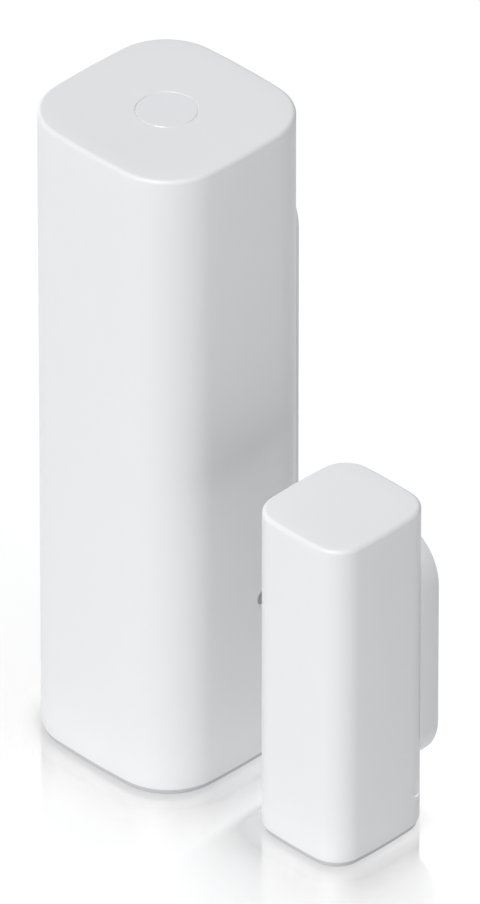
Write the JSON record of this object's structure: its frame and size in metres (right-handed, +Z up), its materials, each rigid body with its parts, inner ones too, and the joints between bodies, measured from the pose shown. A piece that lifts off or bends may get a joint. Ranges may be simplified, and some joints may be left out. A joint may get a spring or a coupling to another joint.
{
  "type": "door contact sensor",
  "caption": "Magnetic door contact: tall rounded-square sensor with a pull-out battery tray, and a small matching magnet unit, each on a slide-on wall bracket.",
  "frame": {"origin": "centre of the sensor unit's flat base", "axes": "+Z up along the sensor unit, +Y towards the wall that the brackets fix to, +X from the sensor unit to the magnet unit"},
  "size_m": [0.0472, 0.0281, 0.0836],
  "materials": {
    "housing_white": "fine satin moulded texture",
    "bracket_white": "fine satin moulded texture",
    "strip_grey": "satin",
    "window_white": "polished, slightly translucent",
    "dot_grey": "matt",
    "inner_white": "plain moulded",
    "clear_plastic": "clear",
    "clear_glass": "clear",
    "board_green": "solder mask over glass fibre",
    "steel": "rolled sheet and drawn wire",
    "nickel": "nickel plated",
    "copper": "drawn wire",
    "gold": "gold flash",
    "chip_black": "moulded epoxy",
    "ceramic_tan": "fired ceramic",
    "wrap_blue": "shrunk film",
    "cell_grey": "wound cell",
    "seal_grey": "silicone rubber",
    "foam_grey": "closed-cell foam tape"
  },
  "bodies": {
    "sensor_unit": {"sensor_housing": "housing_white", "alignment_dot": "dot_grey", "status_window": "window_white", "light_pipe": "clear_plastic", "chassis": "inner_white", "chassis_screws": "steel", "main_board": "board_green", "board_screws": "steel", "reed_glass": "clear_glass", "reed_leads": "nickel", "radio_shield": "nickel", "radio_chip": "chip_black", "motion_chip": "chip_black", "power_chip": "chip_black", "crystal": "nickel", "buffer_capacitor": "steel", "ceramic_capacitors": "ceramic_tan", "chip_resistors": "chip_black", "status_led": "inner_white", "antenna_coil": "copper", "pair_switch": "steel", "tamper_switch": "chip_black", "tamper_spring": "steel", "positive_contact": "nickel", "contact_finger": "gold"},
    "battery_tray": {"base_cap": "strip_grey", "cap_gasket": "seal_grey", "battery_cradle": "inner_white", "contact_plate": "nickel", "negative_spring": "steel", "battery_can": "steel", "battery_core": "cell_grey", "battery_wrap": "wrap_blue", "battery_ring": "inner_white", "battery_terminal": "nickel"},
    "pair_button": {"pair_button": "chip_black"},
    "tamper_plunger": {"tamper_plunger": "inner_white"},
    "tamper_actuator": {"tamper_actuator": "inner_white"},
    "sensor_bracket": {"sensor_bracket": "bracket_white", "sensor_bracket_pad": "foam_grey"},
    "magnet_unit": {"magnet_housing": "housing_white", "magnet_end_cap": "strip_grey", "magnet_carrier": "inner_white", "bar_magnet": "nickel", "magnet_foam": "foam_grey"},
    "magnet_bracket": {"magnet_bracket": "bracket_white", "magnet_bracket_pad": "foam_grey"}
  },
  "joints": [
    {"name": "battery_tray_pull", "type": "slide", "parent": "sensor_unit", "child": "battery_tray", "axis": [0, 0, -1], "range_m": [0, 0.045]},
    {"name": "pair_button_press", "type": "slide", "parent": "sensor_unit", "child": "pair_button", "axis": [1, 0, 0], "range_m": [0, 0.00025], "stiffness_N_per_m": 300, "springref_m": -0.0003},
    {"name": "tamper_press", "type": "slide", "parent": "sensor_unit", "child": "tamper_plunger", "axis": [0, -1, 0], "range_m": [0, 0.0009], "stiffness_N_per_m": 200, "springref_m": -0.001, "deforming": ["tamper_spring"]},
    {"name": "tamper_actuator_travel", "type": "slide", "parent": "sensor_unit", "child": "tamper_actuator", "axis": [0, -1, 0], "range_m": [0, 0.0012]},
    {"name": "sensor_bracket_slide", "type": "slide", "parent": "sensor_unit", "child": "sensor_bracket", "axis": [0, 0, -1], "range_m": [0, 0.004]},
    {"name": "door_opening", "type": "slide", "parent": "sensor_unit", "child": "magnet_unit", "axis": [0, -1, 0], "range_m": [0, 0.06]},
    {"name": "magnet_bracket_slide", "type": "slide", "parent": "magnet_unit", "child": "magnet_bracket", "axis": [0, 0, -1], "range_m": [0, 0.003]}
  ],
  "couplings": [
    {"joint": "tamper_actuator_travel", "follows": "tamper_press", "ratio": 1}
  ]
}
